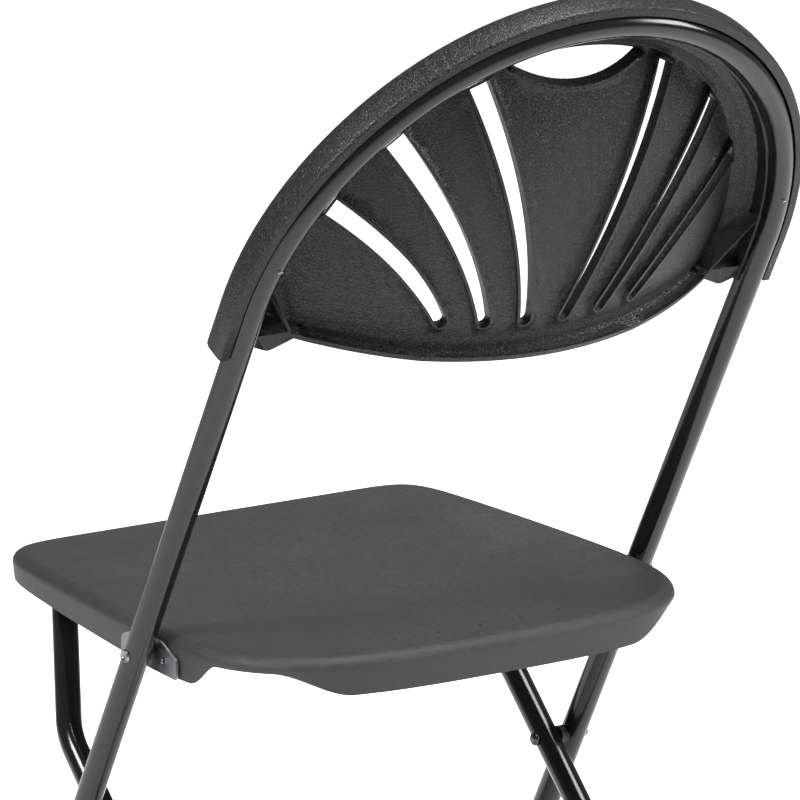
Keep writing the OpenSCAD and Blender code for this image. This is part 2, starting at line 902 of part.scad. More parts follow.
module rear_path(r, over = 0) {
    both_sides() {
        translate([rear_x, 0, -rear_tube_end - over])
            cylinder(h = rear_tube_end + rear_straight + over + weld, r = r);
        translate([rear_x - rear_bend_r, 0, rear_straight]) {
            rotate([90, 0, 0])
                rotate_extrude(angle = rear_bend)
                    translate([rear_bend_r, 0])
                        circle(r = r + swell);
            rotate([0, -rear_bend, 0])
                translate([rear_bend_r, 0, -weld])
                    cylinder(h = slope_len + weld * 2, r = r);
        }
        translate([bar_half, 0, top_bar_rise - top_corner_r])
            rotate([90, 0, 0])
                rotate([0, 0, rear_bend])
                    rotate_extrude(angle = 90 - rear_bend)
                        translate([top_corner_r, 0])
                            circle(r = r + swell);
    }
    translate([0, 0, top_bar_rise])
        across(-bar_half - weld, bar_half + weld, r);
}

module rear_leg_tube() {
    color("#161617")
        on_rear_legs()
            difference() {
                rear_path(tube_r);
                rear_path(tube_r - tube_wall, cut);
                both_sides()
                    across(rear_x - tube_d, rear_x + tube_d, rivet_r + pin_gap);
            }
}

module rear_crossbar() {
    bar_r = crossbar_d / 2;
    color("#161617")
        on_rear_legs()
            translate([0, 0, -rear_bar_drop])
                difference() {
                    across(-rear_x, rear_x, bar_r);
                    across(-rear_x - cut, rear_x + cut, bar_r - tube_wall);
                    both_sides()
                        translate([rear_x, 0, -tube_d])
                            cylinder(h = tube_d * 2, r = tube_r + weld_gap);
                }
}

module slide_sleeve(side) {
    color("#303032")
        on_rear_legs()
            on_side(side)
                translate([rail_x, 0, top_bar_rise])
                    difference() {
                        across(-sleeve_half, sleeve_half, sleeve_r);
                        across(-sleeve_half - cut, sleeve_half + cut, tube_r + pin_gap);
                    }
}

main_frame_tube();
front_crossbar();
crossbar_rivets();
front_foot(1);  // front_foot_left
front_foot(-1);  // front_foot_right
backrest_shell();
backrest_screws();
seat_pivot_rivet(1);  // seat_pivot_rivet_left
seat_pivot_rivet(-1);  // seat_pivot_rivet_right
seat_pivot_washer(1);  // seat_pivot_washer_left
seat_pivot_washer(-1);  // seat_pivot_washer_right
leg_pivot_rivet(1);  // leg_pivot_rivet_left
leg_pivot_rivet(-1);  // leg_pivot_rivet_right
leg_pivot_spacer(1);  // leg_pivot_spacer_left
leg_pivot_spacer(-1);  // leg_pivot_spacer_right
seat_shell();
seat_bracket(1);  // seat_bracket_left
seat_bracket(-1);  // seat_bracket_right
bracket_screws();
slide_rail(1);  // slide_rail_left
slide_rail(-1);  // slide_rail_right
rail_screws();
rear_leg_tube();
rear_crossbar();
rear_foot(1);  // rear_foot_left
rear_foot(-1);  // rear_foot_right
slide_sleeve(1);  // slide_sleeve_left
slide_sleeve(-1);  // slide_sleeve_right
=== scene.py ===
# %% [markdown]
# # A folding chair with a plastic fan back
#
# The chair is two bent steel tubes that cross like scissors, a moulded plastic seat between them and
# a moulded plastic back that wraps the round top of the longer tube. The frame, the hinges and every
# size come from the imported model. This lesson gives those parts their finished surfaces.

# %% Load the frame
import json
import math

import bmesh
import bpy
import numpy as np
from mathutils import Matrix, Vector


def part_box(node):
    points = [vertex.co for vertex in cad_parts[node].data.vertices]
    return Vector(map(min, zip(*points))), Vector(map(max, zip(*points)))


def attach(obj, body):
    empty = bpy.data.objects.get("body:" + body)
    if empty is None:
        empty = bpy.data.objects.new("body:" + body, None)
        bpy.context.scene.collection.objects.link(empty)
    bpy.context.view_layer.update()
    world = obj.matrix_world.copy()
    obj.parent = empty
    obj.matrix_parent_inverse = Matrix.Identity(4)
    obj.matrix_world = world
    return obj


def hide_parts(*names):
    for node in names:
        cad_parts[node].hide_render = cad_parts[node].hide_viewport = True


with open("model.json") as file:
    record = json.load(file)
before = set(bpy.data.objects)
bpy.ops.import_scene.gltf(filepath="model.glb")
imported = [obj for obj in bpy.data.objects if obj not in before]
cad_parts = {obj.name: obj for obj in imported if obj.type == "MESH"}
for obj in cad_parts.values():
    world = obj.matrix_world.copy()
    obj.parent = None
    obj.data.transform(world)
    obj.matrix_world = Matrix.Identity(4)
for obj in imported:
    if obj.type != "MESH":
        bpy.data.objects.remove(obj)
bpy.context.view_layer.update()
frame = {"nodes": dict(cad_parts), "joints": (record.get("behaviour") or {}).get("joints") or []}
joints = {j["name"]: j for j in frame["joints"]}
print("pieces in the frame:", len(frame["nodes"]))

# %% [markdown]
# The two hinges say how the chair stands. The line from the leg hinge up to the seat hinge is the
# front frame's own direction, so its lean is measured and not typed. The other sizes are the ones
# that a maker would read off the drawing, in metres.

# %% Measure how the chair stands
MM = 0.001
seat_pivot = Vector(joints["seat_fold"]["pos_m"])
leg_pivot = Vector(joints["rear_leg_fold"]["pos_m"])
frame_lean = math.atan2(seat_pivot.y - leg_pivot.y, seat_pivot.z - leg_pivot.z)
rear_lean = math.radians(45.1)
seat_tilt = math.radians(1.8)

tube_r = 9.5 * MM
leg_x = 215 * MM
rear_x = 191 * MM
arch_rise = 305 * MM

on_frame = Matrix.Translation(seat_pivot) @ Matrix.Rotation(-frame_lean, 4, "X")
on_seat = Matrix.Translation(seat_pivot) @ Matrix.Rotation(-seat_tilt, 4, "X")
on_rear_legs = Matrix.Translation(leg_pivot) @ Matrix.Rotation(rear_lean, 4, "X")
print("front frame leans", round(math.degrees(frame_lean), 2), "degrees")

# %% [markdown]
# ## Finishes
#
# Every finish is a Principled BSDF with a few procedural patterns behind it. Patterns that several
# finishes share are node groups: a wrinkled leather grain, as it is etched into a plastic mould, and
# a cloudy wear mask that makes a surface a little duller in some places than in others.

# %% Helpers for node trees
def add_node(tree, kind, **settings):
    made = tree.nodes.new(kind)
    for name, value in settings.items():
        setattr(made, name, value)
    return made


def set_inputs(made, **values):
    for name, value in values.items():
        made.inputs[name.replace("_", " ")].default_value = value
    return made


def new_group(name, inputs, outputs):
    tree = bpy.data.node_groups.new(name, "ShaderNodeTree")
    for label, kind, value in inputs:
        socket = tree.interface.new_socket(label, in_out="INPUT", socket_type=kind)
        if value is not None:
            socket.default_value = value
    for label, kind in outputs:
        tree.interface.new_socket(label, in_out="OUTPUT", socket_type=kind)
    return tree, tree.nodes.new("NodeGroupInput"), tree.nodes.new("NodeGroupOutput")


# %% [markdown]
# Mould grain is a net of rounded cells with creases between them. Distance to the edge of a Voronoi
# cell gives the creases, and a slow noise bends the net so that no two cells look alike. It puts out
# a height, which each material gives to its own Bump node.

# %% The mould grain group
def make_grain_group():
    tree, start, end = new_group(
        "Mould grain",
        [("Vector", "NodeSocketVector", None), ("Cells", "NodeSocketFloat", 400.0),
         ("Crease", "NodeSocketFloat", 0.12), ("Warp", "NodeSocketFloat", 0.35)],
        [("Height", "NodeSocketFloat")],
    )
    link = tree.links.new
    warp = set_inputs(add_node(tree, "ShaderNodeTexNoise"), Scale=180.0, Detail=2.0)
    centred = add_node(tree, "ShaderNodeVectorMath", operation="SUBTRACT")
    centred.inputs[1].default_value = (0.5, 0.5, 0.5)
    share = add_node(tree, "ShaderNodeVectorMath", operation="SCALE")
    step = add_node(tree, "ShaderNodeMath", operation="DIVIDE")
    shrink = add_node(tree, "ShaderNodeVectorMath", operation="SCALE")
    place = add_node(tree, "ShaderNodeVectorMath", operation="ADD")
    cells = add_node(tree, "ShaderNodeTexVoronoi", feature="DISTANCE_TO_EDGE")
    crease = add_node(tree, "ShaderNodeMapRange", interpolation_type="SMOOTHSTEP")
    fine = set_inputs(add_node(tree, "ShaderNodeTexNoise"), Scale=2600.0, Detail=1.0)
    speck = add_node(tree, "ShaderNodeMath", operation="MULTIPLY_ADD")
    speck.inputs[1].default_value = 0.25
    link(start.outputs["Vector"], warp.inputs["Vector"])
    link(warp.outputs["Color"], centred.inputs[0])
    link(centred.outputs[0], share.inputs[0])
    link(start.outputs["Warp"], step.inputs[0])
    link(start.outputs["Cells"], step.inputs[1])
    link(step.outputs[0], share.inputs["Scale"])
    shrink.inputs["Scale"].default_value = 4.0
    link(share.outputs[0], shrink.inputs[0])
    link(start.outputs["Vector"], place.inputs[0])
    link(shrink.outputs[0], place.inputs[1])
    link(place.outputs[0], cells.inputs["Vector"])
    link(start.outputs["Cells"], cells.inputs["Scale"])
    link(cells.outputs["Distance"], crease.inputs["Value"])
    link(start.outputs["Crease"], crease.inputs["From Max"])
    link(start.outputs["Vector"], fine.inputs["Vector"])
    link(fine.outputs["Fac"], speck.inputs[0])
    link(crease.outputs["Result"], speck.inputs[2])
    link(speck.outputs[0], end.inputs["Height"])
    return tree


grain_group = make_grain_group()
print("group:", grain_group.name)

# %% [markdown]
# Wear is two noises, one as wide as a hand and one as fine as a scuff, mixed and pushed apart. The
# same mask tints the colour a little and moves the roughness, because a rubbed place changes both.

# %% The wear group
def make_wear_group():
    tree, start, end = new_group(
        "Handling wear",
        [("Vector", "NodeSocketVector", None), ("Broad", "NodeSocketFloat", 9.0),
         ("Fine", "NodeSocketFloat", 220.0), ("Low", "NodeSocketFloat", 0.2),
         ("High", "NodeSocketFloat", 0.4), ("Color", "NodeSocketColor", (0.1, 0.1, 0.1, 1)),
         ("Worn Color", "NodeSocketColor", (0.2, 0.2, 0.2, 1))],
        [("Color", "NodeSocketColor"), ("Roughness", "NodeSocketFloat"), ("Mask", "NodeSocketFloat")],
    )
    link = tree.links.new
    broad = set_inputs(add_node(tree, "ShaderNodeTexNoise"), Detail=4.0, Roughness=0.6)
    fine = set_inputs(add_node(tree, "ShaderNodeTexNoise"), Detail=3.0, Roughness=0.7)
    both = add_node(tree, "ShaderNodeMath", operation="MULTIPLY")
    spread = set_inputs(add_node(tree, "ShaderNodeMapRange"), From_Min=0.12, From_Max=0.42)
    rough = add_node(tree, "ShaderNodeMapRange")
    tint = add_node(tree, "ShaderNodeMix", data_type="RGBA")
    link(start.outputs["Vector"], broad.inputs["Vector"])
    link(start.outputs["Broad"], broad.inputs["Scale"])
    link(start.outputs["Vector"], fine.inputs["Vector"])
    link(start.outputs["Fine"], fine.inputs["Scale"])
    link(broad.outputs["Fac"], both.inputs[0])
    link(fine.outputs["Fac"], both.inputs[1])
    link(both.outputs[0], spread.inputs["Value"])
    link(spread.outputs["Result"], rough.inputs["Value"])
    link(start.outputs["Low"], rough.inputs["To Min"])
    link(start.outputs["High"], rough.inputs["To Max"])
    link(spread.outputs["Result"], tint.inputs["Factor"])
    link(start.outputs["Color"], tint.inputs["A"])
    link(start.outputs["Worn Color"], tint.inputs["B"])
    link(tint.outputs["Result"], end.inputs["Color"])
    link(rough.outputs["Result"], end.inputs["Roughness"])
    link(spread.outputs["Result"], end.inputs["Mask"])
    return tree


wear_group = make_wear_group()
print("group:", wear_group.name)


# %% [markdown]
# One function makes a finish from the two groups: its colours, how rough it may be, its grain and how
# deep the grain is. Numbers that are the same all over go on the shader's own sockets.

# %% The finish function
def make_finish(name, color, worn, rough, grain=None, depth=0.0, wear=(9.0, 220.0), **shader):
    material = bpy.data.materials.new(name)
    material.use_nodes = True
    tree = material.node_tree
    surface = tree.nodes["Principled BSDF"]
    for socket, value in shader.items():
        surface.inputs[socket.replace("_", " ")].default_value = value
    place = add_node(tree, "ShaderNodeTexCoord")
    handling = add_node(tree, "ShaderNodeGroup", node_tree=wear_group)
    set_inputs(handling, Broad=wear[0], Fine=wear[1], Low=rough[0], High=rough[1])
    handling.inputs["Color"].default_value = (*color, 1)
    handling.inputs["Worn Color"].default_value = (*worn, 1)
    link = tree.links.new
    link(place.outputs["Object"], handling.inputs["Vector"])
    link(handling.outputs["Color"], surface.inputs["Base Color"])
    link(handling.outputs["Roughness"], surface.inputs["Roughness"])
    bump = set_inputs(add_node(tree, "ShaderNodeBump"), Strength=1.0, Distance=depth)
    if grain:
        net = add_node(tree, "ShaderNodeGroup", node_tree=grain_group)
        set_inputs(net, Cells=grain[0], Crease=grain[1], Warp=grain[2])
        link(place.outputs["Object"], net.inputs["Vector"])
        link(net.outputs["Height"], bump.inputs["Height"])
    else:
        link(handling.outputs["Mask"], bump.inputs["Height"])
    link(bump.outputs["Normal"], surface.inputs["Normal"])
    return material


# %% [markdown]
# The tubes are black powder paint with a high gloss, so they get a clear coat and a very shallow
# unevenness. The back is black plastic with a wide wrinkled grain, the seat a charcoal plastic with a
# finer one. Brackets and screws are zinc plated, which is never quite even.

# %% The finishes
finishes = {
    "black_paint": make_finish(
        "Black gloss paint", (0.003, 0.003, 0.0035), (0.006, 0.006, 0.0065), (0.10, 0.20),
        depth=0.00004, wear=(14.0, 700.0), Specular_IOR_Level=0.3, Coat_Weight=0.1,
        Coat_Roughness=0.06),
    "back_plastic": make_finish(
        "Wrinkled black plastic", (0.004, 0.004, 0.0044), (0.008, 0.008, 0.0085), (0.30, 0.44),
        grain=(420.0, 0.16, 0.5), depth=0.00022, Specular_IOR_Level=0.26),
    "seat_plastic": make_finish(
        "Charcoal seat plastic", (0.016, 0.016, 0.017), (0.026, 0.026, 0.027), (0.42, 0.58),
        grain=(900.0, 0.2, 0.4), depth=0.00008, Specular_IOR_Level=0.3),
    "black_plastic": make_finish(
        "Black moulded plastic", (0.006, 0.006, 0.0065), (0.012, 0.012, 0.0125), (0.36, 0.52),
        grain=(1100.0, 0.2, 0.3), depth=0.00005, Specular_IOR_Level=0.3),
    "zinc": make_finish(
        "Zinc plate", (0.16, 0.16, 0.17), (0.26, 0.26, 0.27), (0.30, 0.50),
        depth=0.00003, wear=(60.0, 900.0), Metallic=1.0),
    "screw_zinc": make_finish(
        "Bright screw zinc", (0.62, 0.63, 0.66), (0.75, 0.76, 0.78), (0.16, 0.32),
        depth=0.00002, wear=(120.0, 1500.0), Metallic=1.0),
    "dark_rivet": make_finish(
        "Blackened rivet steel", (0.05, 0.05, 0.052), (0.10, 0.10, 0.104), (0.22, 0.42),
        depth=0.00003, wear=(150.0, 1200.0), Metallic=1.0),
}
print("finishes:", ", ".join(finishes))

# %% [markdown]
# ## Shared ways to make a piece
#
# A finished piece stands at the origin with its place in its mesh, as the frame's own parts do. It
# rides on a body, stands for its CAD node and is told which finish it takes. Edges flatter than a
# limit are shaded smooth, so round walls look round and corners stay crisp.

# %% Finishing a piece
def finish_piece(name, mesh, body, slot, stands_for=(), crisp=35):
    mesh.validate()
    piece = bpy.data.objects.new(name, mesh)
    bpy.context.scene.collection.objects.link(piece)
    mesh.polygons.foreach_set("use_smooth", [True] * len(mesh.polygons))
    mesh.set_sharp_from_angle(angle=math.radians(crisp))
    mesh.materials.clear()
    mesh.materials.append(finishes[slot])
    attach(piece, body)
    if stands_for:
        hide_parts(*stands_for)
    print(name, "has", len(mesh.polygons), "faces")
    return piece


def mesh_from(name, points, faces, place=None):
    mesh = bpy.data.meshes.new(name)
    mesh.from_pydata([tuple(p) for p in points], [], faces)
    if place is not None:
        mesh.transform(place)
    mesh.update()
    return mesh


def merged_copy(node):
    mesh = frame["nodes"][node].data.copy()
    work = bmesh.new()
    work.from_mesh(mesh)
    bmesh.ops.remove_doubles(work, verts=work.verts, dist=0.00001)
    bmesh.ops.dissolve_limit(
        work, angle_limit=math.radians(0.5), verts=work.verts, edges=work.edges)
    bmesh.ops.triangulate(work, faces=[f for f in work.faces if len(f.verts) > 4])
    work.to_mesh(mesh)
    work.free()
    return mesh


# %% [markdown]
# ## The tubes
#
# A bent tube is a circle carried along a path that lies in one plane. Each path is a list of straight
# ends and arcs, and the circle stands square to it at every step. More steps go into the arcs, since
# a gloss finish shows every flat.

# %% A tube along a flat path
def arc(centre, radius, first, last, steps):
    return [
        (centre[0] + radius * math.cos(a), centre[1] + radius * math.sin(a))
        for a in np.linspace(math.radians(first), math.radians(last), steps)
    ]


def swept_tube(name, path, radius, place, sides=48):
    path = np.array(path)
    along = np.gradient(path, axis=0)
    along /= np.linalg.norm(along, axis=1)[:, None]
    turn = np.linspace(0, 2 * math.pi, sides, endpoint=False)
    points = [
        (x + radius * math.cos(t) * -dz, radius * math.sin(t), z + radius * math.cos(t) * dx)
        for (x, z), (dx, dz) in zip(path, along)
        for t in turn
    ]
    faces = [
        (i * sides + j, i * sides + (j + 1) % sides,
         (i + 1) * sides + (j + 1) % sides, (i + 1) * sides + j)
        for i in range(len(path) - 1)
        for j in range(sides)
    ]
    last = (len(path) - 1) * sides
    faces += [tuple(range(sides))[::-1], tuple(last + j for j in range(sides))]
    mesh = mesh_from(name, points, faces, place)
    work = bmesh.new()
    work.from_mesh(mesh)
    bmesh.ops.recalc_face_normals(work, faces=work.faces)
    work.to_mesh(mesh)
    work.free()
    return mesh


# %% The front frame tube
foot_cover = 22 * MM
front_end = seat_pivot.z / math.cos(frame_lean) - foot_cover / 2
main_path = [(leg_x, z) for z in np.linspace(-front_end, arch_rise, 24)[:-1]]
main_path += arc((0, arch_rise), leg_x, 0, 180, 128)
main_path += [(-leg_x, z) for z in np.linspace(arch_rise, -front_end, 24)[1:]]
finish_piece("front_frame", swept_tube("front_frame", main_path, tube_r, on_frame),
             "frame", "black_paint", ["main_frame_tube"])

# %% The rear leg tube
rear_straight, rear_bend, rear_bend_r = 58 * MM, 22.4, 70 * MM
top_bar_rise, top_corner_r = 196 * MM, 40 * MM
lean_in = math.radians(rear_bend)
rear_end = leg_pivot.z / math.cos(rear_lean) - foot_cover / 2
bend_x = rear_x - rear_bend_r * (1 - math.cos(lean_in))
bend_z = rear_straight + rear_bend_r * math.sin(lean_in)
slope = top_bar_rise - bend_z - top_corner_r * (1 - math.sin(lean_in))
corner_x = bend_x - slope * math.tan(lean_in) - top_corner_r * math.cos(lean_in)
half = [(rear_x, z) for z in np.linspace(-rear_end, rear_straight, 16)[:-1]]
half += arc((rear_x - rear_bend_r, rear_straight), rear_bend_r, 0, rear_bend, 14)
half += arc((corner_x, top_bar_rise - top_corner_r), top_corner_r, rear_bend, 90, 24)
rear_path = half + [(-x, z) for x, z in reversed(half)]
finish_piece("rear_legs_frame", swept_tube("rear_legs_frame", rear_path, tube_r, on_rear_legs),
             "rear_legs", "black_paint", ["rear_leg_tube"])

# %% [markdown]
# ## The seat
#
# The seat is one plastic moulding: a top with a shallow hollow, a rounded edge and a skirt. Its outline
# is a rounded box whose corners are tighter in front than behind. Rings of points step from the middle
# over the edge and down the skirt, then back up inside, so the shell is closed and has a real wall.

# %% The outline of the seat
seat_half = leg_x - tube_r - 5 * MM
seat_front, seat_back = 240 * MM, 137 * MM
seat_taper = 0.09
corner_front, corner_back = 15, 3.2
seat_rise, seat_roll, seat_dish, seat_wall = 16 * MM, 9 * MM, 4 * MM, 3 * MM
skirt_drop, skirt_front_rise, skirt_draft = 14 * MM, 9 * MM, 1.2 * MM
notch_height = 17 * MM
# The notch spans these directions from the seat's middle, in degrees, and fades in and out over these
notch_first, notch_last = 12, 47
notch_fade_in, notch_fade_out = 7, 16


def outline_at(turn):
    ahead = math.sin(turn) < 0
    power = corner_front if ahead else corner_back
    reach = seat_front if ahead else seat_back
    c, s = abs(math.cos(turn)), abs(math.sin(turn))
    r = ((c / seat_half) ** power + (s / reach) ** power) ** (-1 / power)
    y = r * math.sin(turn)
    narrow = 1 - seat_taper * (-y / seat_front) ** 1.5 if ahead else 1
    return r * math.cos(turn) * narrow, y


def even_outline(count):
    rough = np.array([outline_at(a) for a in np.linspace(0, 2 * math.pi, 4001)])
    walked = np.r_[0, np.cumsum(np.linalg.norm(np.diff(rough, axis=0), axis=1))]
    marks = np.linspace(0, walked[-1], count, endpoint=False)
    return np.c_[np.interp(marks, walked, rough[:, 0]), np.interp(marks, walked, rough[:, 1])]


outline = even_outline(360)
print("seat is", round(2 * outline[:, 0].max(), 3), "m wide")


# %% The rings of the seat
def ease(t):
    t = np.clip(t, 0, 1)
    return t * t * (3 - 2 * t)


def inset(points, d):
    reach = np.where(points[:, 1] < 0, seat_front, seat_back)
    return np.c_[points[:, 0] * (1 - d / seat_half), points[:, 1] * (1 - d / reach)]


def skirt_end(points):
    turn = np.degrees(np.arctan2(points[:, 1], np.abs(points[:, 0])))
    notch = notch_height * np.minimum(
        ease((turn - notch_first) / notch_fade_in), ease((notch_last - turn) / notch_fade_out))
    rise = np.where(
        points[:, 1] < 0, skirt_front_rise * -points[:, 1] / seat_front,
        2 * MM * points[:, 1] / seat_back)
    return -skirt_drop + rise + notch


def flat_ring(q, drop):
    e = inset(outline, seat_roll) * q
    top = seat_rise - seat_dish * max(0, 1 - q * q) ** 1.5 - drop
    return np.c_[e, np.full(len(e), top)]


def roll_ring(turn, thick):
    r = seat_roll - thick
    e = inset(outline, seat_roll - r * math.sin(turn))
    return np.c_[e, np.full(len(e), seat_rise - seat_roll + r * math.cos(turn))]


def skirt_ring(t, thick):
    e = inset(outline, thick + skirt_draft * t)
    z0 = seat_rise - seat_roll
    return np.c_[e, z0 + (skirt_end(outline) - z0) * t]


shares = np.linspace(0.04, 0.97, 26)
turns = np.linspace(0, math.pi / 2, 11)
levels = np.linspace(0.12, 0.94, 6)
edge = 0.5 * MM
rings = [flat_ring(q, 0) for q in shares] + [roll_ring(a, 0) for a in turns]
rings += [skirt_ring(t, 0) for t in levels] + [skirt_ring(0.99, 0), skirt_ring(1, edge)]
rings += [skirt_ring(1, seat_wall - edge), skirt_ring(0.99, seat_wall)]
rings += [skirt_ring(t, seat_wall) for t in levels[::-1]]
rings += [roll_ring(a, seat_wall) for a in turns[::-1]]
rings += [flat_ring(q, seat_wall) for q in shares[::-1]]
print("rings in the seat:", len(rings))


# %% A closed shell through rings
def ring_shell(name, rings, first, last, place):
    n = len(rings[0])
    points = [first] + [tuple(p) for ring in rings for p in ring] + [last]
    end = len(points) - 1
    faces = [(0, 1 + j, 1 + (j + 1) % n) for j in range(n)]
    faces += [
        (1 + i * n + j, 1 + (i + 1) * n + j, 1 + (i + 1) * n + (j + 1) % n, 1 + i * n + (j + 1) % n)
        for i in range(len(rings) - 1)
        for j in range(n)
    ]
    faces += [(end, end - n + (j + 1) % n, end - n + j) for j in range(n)]
    return mesh_from(name, points, faces, place)


middle = seat_rise - seat_dish
seat_mesh = ring_shell("seat_top", rings, (0, 0, middle), (0, 0, middle - seat_wall), on_seat)

# %% [markdown]
# Rain water leaves the hollow through a row of small holes near the rear edge, and the hinge rivets
# need a clear hole in each skirt. Both are cut with Boolean modifiers, whose result becomes the mesh.

# %% Cut the drain holes and the rivet holes
def cylinder_along(centre, axis, radius, length, sides=32):
    turn = Vector((0, 0, 1)).rotation_difference(Vector(axis)).to_matrix().to_4x4()
    work = bmesh.new()
    bmesh.ops.create_cone(work, cap_ends=True, segments=sides, radius1=radius, radius2=radius,
                          depth=length, matrix=Matrix.Translation(centre) @ turn)
    return work


def cut_holes(mesh, cutters):
    cutter_mesh = bpy.data.meshes.new("cutters")
    joined = bmesh.new()
    for cutter in cutters:
        part = bpy.data.meshes.new("cutter")
        cutter.to_mesh(part)
        joined.from_mesh(part)
        cutter.free()
        bpy.data.meshes.remove(part)
    joined.to_mesh(cutter_mesh)
    joined.free()
    tool = bpy.data.objects.new("cutters", cutter_mesh)
    work = bpy.data.objects.new("being_cut", mesh)
    for o in (tool, work):
        bpy.context.scene.collection.objects.link(o)
    cut = work.modifiers.new("holes", "BOOLEAN")
    cut.operation, cut.object, cut.solver = "DIFFERENCE", tool, "EXACT"
    bpy.context.view_layer.update()
    shown = work.evaluated_get(bpy.context.evaluated_depsgraph_get())
    result = bpy.data.meshes.new_from_object(shown)
    for o in (tool, work):
        bpy.data.objects.remove(o)
    return result


drain_r, drain_pitch, drain_inset, drain_bow = 1.5 * MM, 35 * MM, 30 * MM, 0.75 * MM
drains = [
    on_seat @ Vector((drain_pitch * i, seat_back - drain_inset - drain_bow * i * i, seat_rise))
    for i in range(-2, 3)
]
cutters = [cylinder_along(p, (0, 0, 1), drain_r, 4 * seat_rise) for p in drains]
rivet_hole_r = 6 * MM
cutters += [
    cylinder_along(on_seat @ Vector((side * seat_half, 0, 0)), (1, 0, 0), rivet_hole_r, 10 * MM)
    for side in (-1, 1)
]
finish_piece("seat_top", cut_holes(seat_mesh, cutters), "seat", "seat_plastic", ["seat_shell"], 40)

# %% [markdown]
# ## The back
#
# The back is the most worked part: a rim like an upturned gutter round the arch, a panel hollowed like
# a dish, and slots that spread like a fan, each with a low wall behind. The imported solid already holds
# that shape. A merged copy of it is shaded smooth except at its real edges, so the dish shows no flats
# and the slots keep crisp corners.

# %% The back moulding
finish_piece(
    "back_moulding", merged_copy("backrest_shell"), "frame", "back_plastic", ["backrest_shell"], 30)

# %% [markdown]
# ## Small metal and plastic pieces
#
# Rivets, washers, brackets, rails and feet keep the exact shape of the frame's parts. Each is a merged
# copy with smooth shading, because loose triangles can't be shaded smooth.

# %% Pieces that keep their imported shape
kept_shapes = {
    "frame": {
        "front_crossbar": "black_paint", "crossbar_rivets": "screw_zinc",
        "front_foot_left": "black_plastic", "front_foot_right": "black_plastic",
        "seat_pivot_rivet_left": "zinc", "seat_pivot_rivet_right": "zinc",
        "seat_pivot_washer_left": "black_plastic", "seat_pivot_washer_right": "black_plastic",
        "leg_pivot_rivet_left": "dark_rivet", "leg_pivot_rivet_right": "dark_rivet",
        "leg_pivot_spacer_left": "black_plastic", "leg_pivot_spacer_right": "black_plastic",
    },
    "seat": {
        "seat_bracket_left": "zinc", "seat_bracket_right": "zinc", "slide_rail_left": "zinc",
        "slide_rail_right": "zinc", "rail_screws": "screw_zinc",
    },
    "rear_legs": {
        "rear_crossbar": "black_paint", "rear_foot_left": "black_plastic",
        "rear_foot_right": "black_plastic", "slide_sleeve_left": "black_plastic",
        "slide_sleeve_right": "black_plastic",
    },
}
for body, parts in kept_shapes.items():
    for node, slot in parts.items():
        finish_piece("finished_" + node, merged_copy(node), body, slot, [node])

# %% [markdown]
# ## Screws
#
# The same cross-head screw holds the back to the arch and the brackets to the seat, so Geometry Nodes
# make it once. The tree rounds a ball into a pan head, cuts a cross into it, sets a copy at each point
# of a small mesh and turns it to face along that point's own direction.

